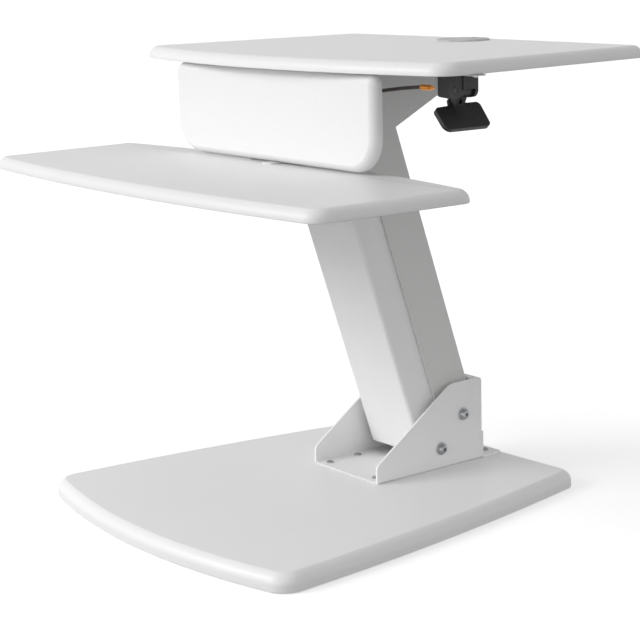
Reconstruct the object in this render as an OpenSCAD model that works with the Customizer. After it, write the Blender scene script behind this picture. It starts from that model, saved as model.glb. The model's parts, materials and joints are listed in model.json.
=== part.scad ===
// Standing desk converter: a wide worktop and a lower keyboard tray on one
// leaning parallel-link column, screwed to a flat base board.
// X is left to right seen by the user, -Y is the user's side, Z is up.
// The origin is on the desk surface, under the middle of the object.

/* [Boards] */
// Board thickness
board_t = 15; // [12:0.5:25]
// Thickness of the base board
base_t = 22; // [15:0.5:30]
// Radius of the base board's rounded upper edge
base_r = 14.5; // [2:0.5:20]
// Radius of the rounded upper edge of the worktop and tray
edge_r = 12.5; // [2:0.5:14]
// Half width of the worktop at its front
top_wf = 305; // [250:1:400]
// Half width of the worktop at its back
top_wb = 280.5; // [220:1:400]
// Front edge of the worktop on the centre line
top_yf = -93; // [-160:0.5:-60]
// Back edge of the worktop on the centre line
top_yb = 300; // [240:0.5:340]
// Height of the worktop's underside
top_z = 553; // [500:0.5:600]
// Half width of the keyboard tray at its front
tray_wf = 346; // [280:1:420]
// Half width of the keyboard tray at its back
tray_wb = 349.5; // [280:1:420]
// Front edge of the tray on the centre line
tray_yf = -288; // [-340:0.5:-240]
// Back edge of the tray on the centre line
tray_yb = -21; // [-40:0.5:-20]
// Height of the tray's underside
tray_z = 420.5; // [400:0.5:440]
// Half width of the base board at its front
base_wf = 257.5; // [200:1:340]
// Half width of the base board at its back
base_wb = 186; // [150:1:340]
// Front edge of the base board on the centre line
base_yf = -291.5; // [-340:0.5:-280]
// Back edge of the base board on the centre line
base_yb = 267; // [240:0.5:320]
// Height of the rubber feet
foot_h = 1; // [1:0.5:8]
// Diameter of the cable grommet's flange
grommet_d = 70; // [50:1:90]
// Distance of the grommet behind the origin
grommet_y = 249; // [180:1:260]

/* [Front panel] */
// Half width of the panel under the worktop
panel_w = 202; // [150:1:260]
// Front face of the panel
panel_y = -72; // [-90:0.5:-60]
// Lower edge of the panel
panel_z = 438; // [436:0.5:470]
// Radius of the panel's lower corners
panel_cr = 43; // [10:1:60]

/* [Column] */
// Lean of the arms from vertical in the raised position
lean = 18.4; // [10:0.1:40]
// Distance between the pivots of each arm
arm_l = 445; // [380:1:480]
// Half width of the front arm
fa_w = 51.5; // [40:0.5:52]
// Depth of the front arm
fa_d = 46.5; // [30:0.5:50]
// Half width of the rear arm
ra_w = 55; // [50:0.5:58]
// Depth of the rear arm
ra_d = 61; // [40:0.5:64]
// Sheet thickness of both arms
arm_t = 2; // [1:0.1:3]
// Sheet thickness of the brackets
brk_t = 3; // [2:0.1:5]
// Half width of the base bracket
ear_w = 65.7; // [60:0.1:80]
// Diameter of the pivot bolts
bolt_d = 8; // [6:0.5:12]

/* [Release lever] */
// Left end of the lever housing
lev_x = 250; // [200:1:270]
// Front face of the lever housing
lev_y = -16.5; // [-40:0.5:40]
// Tilt of the paddle plate below horizontal
paddle_tilt = 46; // [20:1:70]

/* [Drawing] */
// Which sub-part to draw

/* [Hidden] */
$fn = 64;
e = 0.01;
base_top = 18;
rise = foot_h + base_t - base_top;
tray_top = tray_z + board_t;
plate_top = base_top + brk_t;
p1 = [145.5, 45];
p2 = [184.5, 85];
u = [-sin(lean), cos(lean)];
p3 = p1 + arm_l * u;
p4 = p2 + arm_l * u;
gdir = p4 - p1;
gang = atan2(-gdir[0], gdir[1]);
glen = norm(gdir);
ear_in = ear_w - brk_t;
chk_in = 57;
chk_out = chk_in + brk_t;
ear_y0 = 36;
ear_y1 = 217.5;
run = 0.05;
web_y = panel_y + board_t;
hz = 526.3;
slot_l = 10.2;
slot_r = bolt_d / 2 + 1.15;
pv = [lev_x + 29, hz + 8.7];

white = [0.93, 0.93, 0.92];
steel_white = [0.86, 0.86, 0.86];
zinc = [0.72, 0.73, 0.74];
black = [0.09, 0.09, 0.10];
nylon = [0.20, 0.20, 0.21];
brass = [0.78, 0.55, 0.22];
rubber = [0.13, 0.13, 0.13];
dark_metal = [0.28, 0.28, 0.30];

// ---- helpers -----------------------------------------------------------

// puts the origin under the middle of the box, on the desk surface
module up() translate([0, -(top_yb + base_yf) / 2, rise]) children();
// rod along X
module rodx(x0, x1, d, fn = 64) translate([x0, 0, 0]) rotate([0, 90, 0]) cylinder(h = x1 - x0, d = d, $fn = fn);
// place at a point of the Y-Z plane
module at(p) translate([0, p[0], p[1]]) children();
// draw a shape given in (Y, Z) and make it thick along X
module yz(x0, x1) translate([x0, 0, 0]) rotate([90, 0, 90]) linear_extrude(height = x1 - x0) children();
// same in (X, Z), thick along Y
module xz(y0, y1) translate([0, y1, 0]) rotate([90, 0, 0]) linear_extrude(height = y1 - y0) children();
module both() { children(); mirror([1, 0, 0]) children(); }
// arm frame: local +Z runs up the arm, local +Y is the rear
module arm_at(p) translate([0, p[0], p[1]]) rotate([lean, 0, 0]) children();
// gas strut frame
module strut_at() translate([0, p1[0], p1[1]]) rotate([gang, 0, 0]) children();

// arc through a chord: front edge bulging forward by s over half width w
function bow(w, s, x) = s * x * x / (w * w);
// rounded corner between two directions at point p: list of points
function fillet(p, a, b, r, n) =
    let (ua = (a - p) / norm(a - p), ub = (b - p) / norm(b - p),
         h = acos(ua * ub) / 2, d = r / tan(h),
         c = p + (ua + ub) / norm(ua + ub) * (r / sin(h)),
         s = p + ua * d - c, t = p + ub * d - c,
         a0 = atan2(s[1], s[0]), dd = atan2(t[1], t[0]) - a0,
         sw = dd > 180 ? dd - 360 : dd < -180 ? dd + 360 : dd)
    [for (i = [0:n]) c + r * [cos(a0 + sw * i / n), sin(a0 + sw * i / n)]];

// plan outline of a board, counter-clockwise, with curved edges
function plan(wf, wb, yf, sf, yb, sb, rf, rb, side) =
    let (nf = 18, nb = 12, ns = 8,
         fr = [wf, yf + sf], br = [wb, yb - sb],
         f_in = [wf * 0.93, yf + bow(wf, sf, wf * 0.93)],
         s_lo = fr + (br - fr) * 0.1 + [4 * side * 0.1 * 0.9, 0],
         s_hi = fr + (br - fr) * 0.95 + [4 * side * 0.95 * 0.05, 0],
         b_in = [wb * 0.95, yb - bow(wb, sb, wb * 0.95)],
         right = concat(
            [for (i = [0:nf]) let (x = wf * 0.88 * i / nf) [x, yf + bow(wf, sf, x)]],
            fillet(fr, f_in, s_lo, rf, 10),
            [for (i = [1:ns]) let (q = 0.1 + 0.82 * i / ns) fr + (br - fr) * q + [4 * side * q * (1 - q), 0]],
            fillet(br, s_hi, b_in, rb, 5),
            [for (i = [0:nb]) let (x = wb * 0.86 * (1 - i / nb)) [x, yb - bow(wb, sb, x)]]))
    concat(right, [for (i = [len(right) - 2:-1:1]) [-right[i][0], right[i][1]]]);

// board with the given outline, lower edge eased, upper edge rounded
module board(pts, t, r, ease = 1) {
    n = len(pts);
    nrm = [for (i = [0:n - 1]) let (d = pts[(i + 1) % n] - pts[(i + n - 1) % n]) [-d[1], d[0]] / norm(d)];
    k = 6;
    prof = concat([[ease, 0], [0, ease]],
        [for (j = [0:k]) let (a = 90 * j / k) [r * (1 - cos(a)), t - r + r * sin(a)]]);
    m = len(prof);
    v = [for (q = prof) for (i = [0:n - 1]) [pts[i][0] + nrm[i][0] * q[0], pts[i][1] + nrm[i][1] * q[0], q[1]]];
    f = concat(
        [[for (i = [0:n - 1]) i]],
        [[for (i = [n - 1:-1:0]) (m - 1) * n + i]],
        [for (j = [0:m - 2]) for (i = [0:n - 1]) let (i2 = (i + 1) % n) [j * n + i, (j + 1) * n + i, (j + 1) * n + i2]],
        [for (j = [0:m - 2]) for (i = [0:n - 1]) let (i2 = (i + 1) % n) [j * n + i, (j + 1) * n + i2, j * n + i2]]);
    polyhedron(v, f, convexity = 4);
}

// pan head screw, head on +Z, shank below; recess for the driver
module screw(d, head, hh, l) difference() {
    union() {
        cylinder(h = hh * 0.55, d = head);
        translate([0, 0, hh * 0.55 - e]) cylinder(h = hh * 0.45, d1 = head, d2 = head * 0.62);
        translate([0, 0, -l]) cylinder(h = l + e, d = d);
    }
    translate([0, 0, hh * 0.35]) for (a = [0, 90]) rotate([0, 0, a]) translate([-head * 0.24, -head * 0.055, 0]) cube([head * 0.48, head * 0.11, hh]);
}
// socket head bolt along X from x0 to x1, head beyond x1
module bolt(x0, x1) difference() {
    union() {
        rodx(x0, x1 + e, bolt_d);
        rodx(x1, x1 + 4.2, 13.5);
        translate([x1 + 4.2 - e, 0, 0]) rotate([0, 90, 0]) cylinder(h = 1.2, d1 = 13.5, d2 = 10.5);
    }
    translate([x1 + 2, 0, 0]) rotate([0, 90, 0]) cylinder(h = 5, d = 5.8, $fn = 6);
}
// lock nut along X, x0 is the seat, grows to -X
module nut(x0) difference() {
    union() {
        translate([x0 - 6, 0, 0]) rotate([0, 90, 0]) cylinder(h = 6, d = 15, $fn = 6);
        rodx(x0 - 8, x0 - 6 + e, 12);
    }
    rodx(x0 - 9, x0 + 1, bolt_d);
}
module ring(x0, x1, od, id) difference() { rodx(x0, x1, od); rodx(x0 - 1, x1 + 1, id); }
// ---- boards ------------------------------------------------------------

top_plan = plan(top_wf, top_wb, top_yf, 41.5, top_yb, 7, 30, 14, 0);
tray_plan = plan(tray_wf, tray_wb, tray_yf, 21.7, tray_yb, 30.6, 24, 20, 0);
base_plan = plan(base_wf, base_wb, base_yf, 39, base_yb, -6.8, 30, 22, 11.2);

module base_board() color(white) up() difference() {
    translate([0, 0, base_top - base_t]) board(base_plan, base_t, base_r);
    for (p = base_screw_pts) translate([p[0], p[1], base_top - 12]) cylinder(h = 13, d = 4);
    for (x = [-48, 48]) translate([x, 240, base_top - 12]) cylinder(h = 13, d = 4);
}
base_screw_pts = [[-47.5, 48], [47.5, 48], [-50, 97.5], [50, 97.5], [-45, 178], [45, 178]];

module base_feet() color(rubber) up()
    for (p = [[-215, -215], [215, -215], [-195, 20], [195, 20], [-160, 245], [160, 245]])
        translate([p[0], p[1], -rise]) cylinder(h = foot_h, d = 24);

module keyboard_tray() color(white) up() difference() {
    translate([0, 0, tray_z]) board(tray_plan, board_t, edge_r);
    for (p = tray_bolt_pts) translate([p[0], p[1], tray_z - 1]) cylinder(h = board_t + 2, d = 6);
}
tray_bolt_pts = [[-48, -44], [-16, -44], [16, -44], [48, -44]];

module work_surface() color(white) up() difference() {
    translate([0, 0, top_z]) board(top_plan, board_t, edge_r);
    translate([0, grommet_y, top_z - 1]) cylinder(h = board_t + 2, d = grommet_d - 10);
    for (p = top_screw_pts) translate([p[0], p[1], top_z - e]) cylinder(h = 10, d = 4);
    for (p = lever_screw_pts) translate([p[0], p[1], top_z - e]) cylinder(h = 9, d = 3.5);
}
top_screw_pts = [[-40, -32], [40, -32], [-40, 110], [40, 110], [-40, 225], [40, 225]];
lever_screw_pts = [[lev_x - 11.5, lev_y + 12], [lev_x + 49, lev_y + 12]];

// ---- grommet -----------------------------------------------------------

module grommet_ring() color(zinc) up() translate([0, grommet_y, top_z + board_t]) difference() {
    union() {
        cylinder(h = 1.4, d = grommet_d);
        translate([0, 0, 1.4 - e]) cylinder(h = 0.8, d1 = grommet_d, d2 = grommet_d - 3);
        translate([0, 0, -board_t + 0.5]) cylinder(h = board_t, d = grommet_d - 10.2);
    }
    translate([0, 0, -board_t]) cylinder(h = board_t + 5, d = grommet_d - 14);
    translate([0, 0, 0.2]) cylinder(h = 5, d = grommet_d - 8);
}
module grommet_cap() color(zinc) up() translate([0, grommet_y, top_z + board_t]) difference() {
    union() {
        translate([0, 0, 0.4]) cylinder(h = 1.9, d = grommet_d - 9);
        translate([0, 0, -6]) cylinder(h = 7, d = grommet_d - 14.8);
    }
    translate([0, 0, -7]) cylinder(h = 7.4, d = grommet_d - 18);
    translate([-7, grommet_d / 2 - 16, -8]) cube([14, 20, 14]);
}

// ---- front panel -------------------------------------------------------

panel_right = concat(
    fillet([panel_w, panel_z], [0, panel_z], [panel_w, top_z], panel_cr, 12),
    fillet([panel_w, top_z - 1.5], [panel_w, panel_z], [0, top_z - 1.5], 12, 4));
panel_plan = concat(panel_right, [for (i = [len(panel_right) - 1:-1:0]) [-panel_right[i][0], panel_right[i][1]]]);
module front_panel() color(white) up() difference() {
    translate([0, web_y, 0]) rotate([90, 0, 0]) board(panel_plan, board_t, 11);
    for (p = panel_screw_pts) translate([p[0], web_y + 1, p[1]]) rotate([90, 0, 0]) cylinder(h = 11, d = 4);
}
panel_screw_pts = [[-42, 470], [42, 470], [-42, 530], [42, 530]];

// ---- base bracket ------------------------------------------------------

ear_poly = concat(
    [[ear_y0 + 3, base_top], [ear_y1, base_top]],
    fillet([ear_y1, 129.5], [ear_y1, base_top], [160, 129.5], 4, 4),
    fillet([163.6, 129.5], [200, 129.5], [ear_y0, 42], 22, 6),
    fillet([ear_y0 + 0.5, 41.6], [163.6, 129.5], [ear_y0, base_top], 8, 4),
    [[ear_y0, base_top + 3]]);
module base_bracket() color(steel_white) up() difference() {
    union() {
        both() yz(ear_in, ear_w) polygon(ear_poly);
        translate([-ear_in - e, ear_y0, base_top]) cube([2 * (ear_in + e), ear_y1 - ear_y0, brk_t]);
        translate([-ear_in - e, ear_y1 - brk_t, base_top]) cube([2 * (ear_in + e), brk_t, 129.5 - base_top]);
        translate([-ear_in - e, 204.5, 129.5 - brk_t]) cube([2 * (ear_in + e), ear_y1 - 204.5, brk_t]);
    }
    at(p1) rodx(-80, 80, bolt_d + 0.1);
    at(p2) rodx(-80, 80, bolt_d + 0.1);
    for (p = base_screw_pts) translate([p[0], p[1], base_top - 1]) cylinder(h = brk_t + 2, d = 5);
    for (x = [-57, 57]) translate([x, 209.5, 120]) cylinder(h = 15, d = 4.5);
    for (x = [-30, 30]) translate([x, 230, 40]) rotate([90, 0, 0]) cylinder(h = 20, d = 6.1);
}
module rear_angle() color(steel_white) up() difference() {
    union() {
        translate([-ear_w, ear_y1 + e, base_top]) cube([2 * ear_w, brk_t, 37]);
        translate([-ear_w, ear_y1 + e, base_top]) cube([2 * ear_w, 36, brk_t]);
    }
    for (x = [-48, 48]) for (dy = [-3:1:3]) translate([x, 240 + dy, base_top - 1]) cylinder(h = 6, d = 5);
    for (x = [-48, 48]) translate([x - 2.5, 237, base_top - 1]) cube([5, 6, 6]);
    for (x = [-30, 30]) translate([x, 230, 40]) rotate([90, 0, 0]) cylinder(h = 20, d = 6.1);
}
module base_screws() color(zinc) up() for (p = base_screw_pts)
    translate([p[0], p[1], plate_top]) screw(4, 9.5, 2.2, 14);
module angle_screws() color(zinc) up() for (x = [-48, 48])
    translate([x, 240, plate_top]) screw(4, 9.5, 2.6, 14);
module angle_bolts() color(zinc) up() for (x = [-30, 30]) translate([x, 0, 40]) {
    translate([0, ear_y1 + brk_t + e, 0]) rotate([-90, 0, 0]) screw(6, 11, 3.4, 12);
    translate([0, ear_y1 - brk_t, 0]) rotate([90, 0, 0]) difference() {
        cylinder(h = 4.5, d = 11.4, $fn = 6);
        translate([0, 0, -1]) cylinder(h = 7, d = 6);
    }
}
module lower_bolts() color(zinc) up() { at(p1) bolt(-76.5, ear_w + 1.6); at(p2) bolt(-76.5, ear_w + 1.6); }
module lower_washers() color(zinc) up() for (p = [p1, p2]) at(p) {
    ring(ear_w, ear_w + 1.6, 17, bolt_d + 0.1);
    ring(-ear_w - 1.6, -ear_w, 17, bolt_d + 0.1);
}
module lower_nuts() color(zinc) up() for (p = [p1, p2]) at(p) nut(-ear_w - 1.6);
// sleeves that set the gas strut in the middle and space the rear arm
module lower_sleeves() color(zinc) up() {
    at(p1) both() ring(14.4, fa_w - arm_t - 1.7, 12, bolt_d + 0.1);
    at(p2) ring(-(ra_w - arm_t - 1.7), ra_w - arm_t - 1.7, 12, bolt_d + 0.1);
}

// ---- arms --------------------------------------------------------------

module flange_shape(d, s0, s1) difference() {
    union() {
        translate([-d / 2, s0]) square([d, s1 - s0]);
        circle(r = 18);
        translate([0, arm_l]) circle(r = 18);
    }
    circle(d = 12);
    translate([0, arm_l]) circle(d = 12);
}
// open channel; web side: -1 at the front, +1 at the rear
module channel(w, d, s0, s1, side, ws0) {
    both() rotate([90, 0, 90]) translate([0, 0, w - arm_t]) linear_extrude(height = arm_t) flange_shape(d, s0, s1);
    translate([-w + e, side > 0 ? d / 2 - arm_t : -d / 2, ws0]) cube([2 * w - 2 * e, arm_t, s1 - ws0]);
}
module front_arm() color(white) up() arm_at(p1) difference() {
    channel(fa_w, fa_d, -2, arm_l + 10, -1, -2);
    translate([40, -fa_d / 2 - 1, 36]) rotate([-90, 0, 0]) cylinder(h = 5, d = 2.4);
}
module rear_arm() color(steel_white) up() arm_at(p2) channel(ra_w, ra_d, 3, arm_l + 12, 1, 3);

// top-hat bush: spigot through the arm's wall, flange outwards
module bush(w, gap) both() difference() {
    union() {
        rodx(w - arm_t - 1.2, w + e, 12);
        rodx(w, w + gap - 0.3, 18);
    }
    rodx(w - 10, w + gap + 1, bolt_d + 2 * run);
}
module front_arm_bushes() color(nylon) up() { at(p1) bush(fa_w, ear_in - fa_w); at(p3) bush(fa_w, chk_in - fa_w); }
module rear_arm_bushes() color(nylon) up() { at(p2) bush(ra_w, ear_in - ra_w); at(p4) bush(ra_w, chk_in - ra_w); }

// ---- gas strut and its release -----------------------------------------

cyl_top = 300;
module gas_cylinder() color(dark_metal) up() strut_at() difference() {
    translate([0, 0, 20]) cylinder(h = cyl_top - 20, d = 28);
    translate([0, 0, 26]) cylinder(h = cyl_top, d = 10.1);
    translate([0, 0, 34]) cylinder(h = cyl_top - 44, d = 24);
}
module gas_lower_eye() color(zinc) up() strut_at() difference() {
    union() {
        rodx(-14, 14, 22);
        translate([0, 0, 6]) cylinder(h = 14, d = 16);
    }
    rodx(-15, 15, bolt_d + 2 * run);
}
module gas_rod() color(zinc) up() strut_at() {
    translate([0, 0, 222]) cylinder(h = glen - 12 - 222, d = 10);
    translate([0, 0, 212]) cylinder(h = 10, d = 23.5);
}
// the strut's upper pivot: the head is slotted across the strut
module release_head() color(dark_metal) up() strut_at() translate([0, 0, glen]) difference() {
    union() {
        rodx(-14, 14, 24);
        translate([0, slot_l, 0]) rodx(-14, 14, 20);
        translate([-14, 0, -10]) cube([28, slot_l, 20]);
        translate([-9, -9, -14]) cube([18, 18, 30]);
        translate([-9, -22, 4]) cube([4, 16, 12]);
        translate([5, -22, 4]) cube([4, 16, 12]);
    }
    rodx(-15, 15, 2 * slot_r);
    translate([0, slot_l, 0]) rodx(-15, 15, 2 * slot_r);
    translate([-15, 0, -slot_r]) cube([30, slot_l, 2 * slot_r]);
    translate([0, 0, -15]) cylinder(h = 3.1, d = 10.1);
    translate([0, 0, 6.6]) cylinder(h = 20, d = 5.2);
    translate([-10, -18, 10]) rotate([0, 90, 0]) cylinder(h = 20, d = 3.1);
}
module release_pin() color(zinc) up() strut_at() translate([0, 0, glen + 8.6]) cylinder(h = 9.9, d = 4.8);
module release_trigger() color(zinc) up() strut_at() translate([0, 0, glen]) difference() {
    union() {
        translate([-4.6, -18, 10]) rotate([0, 90, 0]) cylinder(h = 9.2, d = 7);
        translate([-4.6, -21.4, -12]) cube([9.2, 3, 22]);
        translate([-4.6, -21.4, 10]) cube([9.2, 3, 11.8]);
        translate([-4.6, -21.4, 18.8]) cube([9.2, 27, 3]);
    }
    translate([-10, -18, 10]) rotate([0, 90, 0]) cylinder(h = 20, d = 3.1);
}
module trigger_pin() color(zinc) up() strut_at() translate([-9.5, -18, glen + 10]) rotate([0, 90, 0]) cylinder(h = 19, d = 3);

// ---- carriage that carries both boards ---------------------------------

chk_poly = concat(
    [[web_y, tray_top], [8, tray_top]],
    fillet([13, tray_top + 2.6], [0, tray_top], [120, tray_top + 55], 8, 3),
    fillet([219, 540], [86, 474], [250, 540], 12, 4),
    fillet([250, 540], [219, 540], [250, top_z], 5, 3),
    [[250, top_z], [web_y, top_z]]);
module carriage() color(steel_white) up() difference() {
    union() {
        both() yz(chk_in, chk_out) polygon(chk_poly);
        translate([-chk_in - e, web_y, top_z - brk_t]) cube([2 * (chk_in + e), 250 - web_y, brk_t]);
        translate([-chk_in - e, web_y, tray_top]) cube([2 * (chk_in + e), brk_t, top_z - tray_top]);
        translate([-chk_in - e, web_y, tray_top]) cube([2 * (chk_in + e), -22 - web_y, brk_t]);
        translate([-10, panel_y - 4, tray_top]) cube([20, web_y - panel_y + 5, 1.8]);
    }
    at(p3) rodx(-80, 80, bolt_d + 0.1);
    at(p4) rodx(-80, 80, bolt_d + 0.1);
    for (p = top_screw_pts) translate([p[0], p[1], top_z - 6]) cylinder(h = 8, d = 5);
    for (p = panel_screw_pts) translate([p[0], web_y + 6, p[1]]) rotate([90, 0, 0]) cylinder(h = 10, d = 5);
    for (p = tray_bolt_pts) translate([p[0], p[1], tray_top - 2]) cylinder(h = 8, d = 6.1);
    translate([40, -17.1, 511.5]) rotate([0, 90, 0]) cylinder(h = 30, d = 9);
    translate([-20, 130, top_z - 6]) cube([40, 60, 8]);
}
module carriage_screws() color(zinc) up() for (p = top_screw_pts)
    translate([p[0], p[1], top_z - brk_t]) mirror([0, 0, 1]) screw(4, 9.5, 2.4, 12);
module panel_screws() color(zinc) up() for (p = panel_screw_pts)
    translate([p[0], web_y + brk_t, p[1]]) rotate([-90, 0, 0]) screw(4, 9.5, 2.4, 12);
module tray_backing_plate() color(steel_white) up() difference() {
    translate([-100, -150, tray_z - brk_t]) cube([200, 124, brk_t]);
    for (p = tray_bolt_pts) translate([p[0], p[1], tray_z - 6]) cylinder(h = 8, d = 6.1);
    for (x = [-85, 85]) translate([x, -135, tray_z - 6]) cylinder(h = 8, d = 5);
    for (x = [-85, 85]) translate([x, -60, tray_z - 6]) cylinder(h = 8, d = 5);
}
module tray_bolts() color(zinc) up() for (p = tray_bolt_pts) translate([p[0], p[1], 0]) {
    translate([0, 0, tray_z - brk_t]) mirror([0, 0, 1]) screw(6, 12, 3, board_t + 2 * brk_t + 6);
    translate([0, 0, tray_top + brk_t]) difference() {
        cylinder(h = 5, d = 11.4, $fn = 6);
        translate([0, 0, -1]) cylinder(h = 7, d = 6);
    }
}
module upper_bolts() color(zinc) up() { at(p3) bolt(-71, chk_out + 1.6); at(p4) bolt(-71, chk_out + 1.6); }
module upper_washers() color(zinc) up() for (p = [p3, p4]) at(p) {
    ring(chk_out, chk_out + 1.6, 17, bolt_d + 0.1);
    ring(-chk_out - 1.6, -chk_out, 17, bolt_d + 0.1);
}
module upper_nuts() color(zinc) up() for (p = [p3, p4]) at(p) nut(-chk_out - 1.6);
module upper_sleeves() color(zinc) up() {
    at(p3) ring(-(fa_w - arm_t - 1.7), fa_w - arm_t - 1.7, 12, bolt_d + 0.1);
    at(p4) both() ring(14.4, ra_w - arm_t - 1.7, 12, bolt_d + 0.1);
}

// ---- lever under the right front of the worktop ------------------------

// steel strap with the wall that stops the cable
module lever_bracket() color(zinc) up() difference() {
    union() {
        translate([lev_x - 16, lev_y + 2, top_z - 1.6]) cube([73, 20, 1.6]);
        translate([lev_x - 6.5, lev_y + 2, hz + 1]) cube([6.3, 20, top_z - hz - 1.6]);
    }
    for (p = lever_screw_pts) translate([p[0], p[1], top_z - 4]) cylinder(h = 8, d = 3.6);
    translate([lev_x - 30, lev_y + 12, 534.6]) rotate([0, 90, 0]) cylinder(h = 34, d = 3.3);
}
module lever_screws() color(zinc) up() for (p = lever_screw_pts)
    translate([p[0], p[1], top_z - 1.6]) mirror([0, 0, 1]) screw(3.5, 7, 2.2, 9);
// two cheeks joined by a roof
module cheek_shape(front) difference() {
    union() {
        polygon([[lev_x, hz + 2.5], [lev_x + 2.5, hz], [lev_x + 22, hz - 1], [lev_x + 30, hz + 2], [lev_x + 41, hz + 10], [lev_x + 41, top_z - 1.6], [lev_x, top_z - 1.6]]);
        if (front) translate(pv) circle(r = 10.6);
    }
    translate(pv) circle(d = 5.1);
}
module lever_housing() color(black) up() difference() {
    union() {
        xz(lev_y, lev_y + 4) cheek_shape(true);
        xz(lev_y + 20, lev_y + 24) cheek_shape(false);
        translate([lev_x, lev_y + 4 - e, top_z - 5.6]) cube([41, 16 + 2 * e, 4]);
        translate([lev_x + 38, lev_y + 4 - e, hz + 11]) cube([3, 16 + 2 * e, top_z - hz - 12.6]);
    }
    translate([lev_x - 1, lev_y + 9, top_z - 8]) cube([1, 6, 4]);
}
module lever_pin() color(zinc) up() translate([pv[0], lev_y - 0.8, pv[1]]) rotate([-90, 0, 0]) {
    cylinder(h = 25.6, d = 5);
    cylinder(h = 0.7, d = 7);
}
// paddle: hub, neck and wide plate
ptop = [lev_x + 17.5, 516.7];
pdir = [cos(paddle_tilt), -sin(paddle_tilt)];
module lever_paddle() color(black) up() difference() {
    union() {
        xz(lev_y + 4.4, lev_y + 19.6) difference() {
            union() {
                translate(pv) circle(r = 8);
                hull() { translate(pv + [-3.6, -3]) circle(r = 4); translate(ptop + [0.5, 2]) circle(r = 4.2); }
                hull() { translate(ptop + [0.5, 2]) circle(r = 4.2); translate(ptop + 6 * pdir) circle(r = 2.4); }
            }
            translate(pv) circle(d = 5.1);
        }
        translate([ptop[0], 0, ptop[1]]) rotate([0, paddle_tilt, 0]) paddle_plate();
    }
    translate([lev_x + 13.5, lev_y + 9.8, 519]) cube([16, 4.4, 5]);
}
module paddle_plate() translate([0, 0, -2.7]) linear_extrude(height = 5.4) polygon(concat(
    fillet([1.5, lev_y - 26.5], [-0.5, lev_y + 10], [34, lev_y - 29], 5, 4),
    fillet([34, lev_y - 29], [1.5, lev_y - 26.5], [34, lev_y + 30], 6, 4),
    fillet([34, lev_y + 42], [34, lev_y - 10], [0, lev_y + 44.5], 6, 4),
    fillet([-1, lev_y + 45], [30, lev_y + 44.5], [-0.5, lev_y + 20], 5, 4)));
// return spring round the pin, one coil each side of the hub
module lever_spring() color(zinc) up() translate([pv[0], 0, pv[1]]) rotate([-90, 0, 0])
    for (y = [lev_y + 4.05]) translate([0, 0, y]) difference() { cylinder(h = 0.3, d = 12); translate([0, 0, -1]) cylinder(h = 3, d = 9); }

// ---- release cable -----------------------------------------------------

cy = lev_y + 12;
// one long arc from a to b, rising s above its chord
module arc_bar(a, b, s, d) {
    h = norm(b - a) / 2; r = (h * h + s * s) / (2 * s); ha = asin(h / r);
    v = (b - a) / norm(b - a);
    translate((a + b) / 2) rotate([0, 0, atan2(v[1], v[0])]) rotate([0, -asin(v[2]), 0])
        mirror([0, 0, 1]) translate([0, 0, r - s]) rotate([90, 0, 0]) rotate([0, 0, -90 - ha])
            rotate_extrude(angle = 2 * ha, $fn = 64) translate([r, 0]) circle(d = d, $fn = 32);
}
// straight wire between two points
module wire(a, b, d) {
    v = b - a;
    translate(a) rotate([0, 0, atan2(v[1], v[0])]) rotate([0, 90 - asin(v[2] / norm(v)), 0]) cylinder(h = norm(v), d = d, $fn = 24);
}
cab_a = [208.5, cy, 534.6];
cab_b = [24.2, -20, 503];
module cable_sheath() color([0.22, 0.20, 0.20]) up() arc_bar(cab_b, cab_a, 4.2, 4.4);
module cable_adjuster() color(brass) up() difference() {
    translate([0, cy, 534.6]) union() {
        rodx(208, 226, 5);
        rodx(225, lev_x - 4, 3.1);
        for (i = [0:5]) rodx(208.8 + 2.6 * i, 210.4 + 2.6 * i, 6.6);
    }
    translate([0, cy, 534.6]) rodx(207, 211, 4.4);
    translate([0, cy, 534.6]) rodx(200, lev_x, 1.7);
}
// inner wire: adjuster to the nipple on the paddle's neck
module cable_wire() color(zinc) up() {
    wire([211.5, cy, 534.6], [lev_x + 0.6, cy, 534.6], 1.5);
    wire([lev_x + 0.4, cy, 534.7], [lev_x + 15.4, cy, 522.75], 1.5);
}
module cable_nipple() color(zinc) up() translate([lev_x + 17, cy - 2, 521.5]) rotate([-90, 0, 0]) cylinder(h = 4, d = 3.6);
// lug on the front of the carriage where the sheath ends
module cable_anchor() color(zinc) up() difference() {
    union() {
        translate([10, web_y + brk_t, 492]) cube([14, 2, 22]);
        translate([22, web_y + brk_t, 497]) cube([2, 42, 12]);
    }
    translate([16, -20, 503]) rodx(0, 10, 2.2);
}
module trigger_wire() color(zinc) up() wire([21.8, -20, 503], [8, 8, 498.9], 1.5);

base_board();
base_feet();
base_bracket();
rear_angle();
base_screws();
angle_screws();
angle_bolts();
lower_bolts();
lower_washers();
lower_nuts();
lower_sleeves();
front_arm();
front_arm_bushes();
rear_arm();
rear_arm_bushes();
gas_cylinder();
gas_lower_eye();
gas_rod();
release_head();
release_pin();
release_trigger();
trigger_pin();
carriage();
carriage_screws();
upper_bolts();
upper_washers();
upper_nuts();
upper_sleeves();
work_surface();
grommet_ring();
grommet_cap();
front_panel();
panel_screws();
keyboard_tray();
tray_backing_plate();
tray_bolts();
lever_bracket();
lever_screws();
lever_housing();
lever_pin();
lever_paddle();
lever_spring();
cable_sheath();
cable_adjuster();
cable_wire();
cable_nipple();
cable_anchor();
trigger_wire();
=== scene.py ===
import bpy, bmesh, json, math
from mathutils import Vector, Matrix


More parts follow.
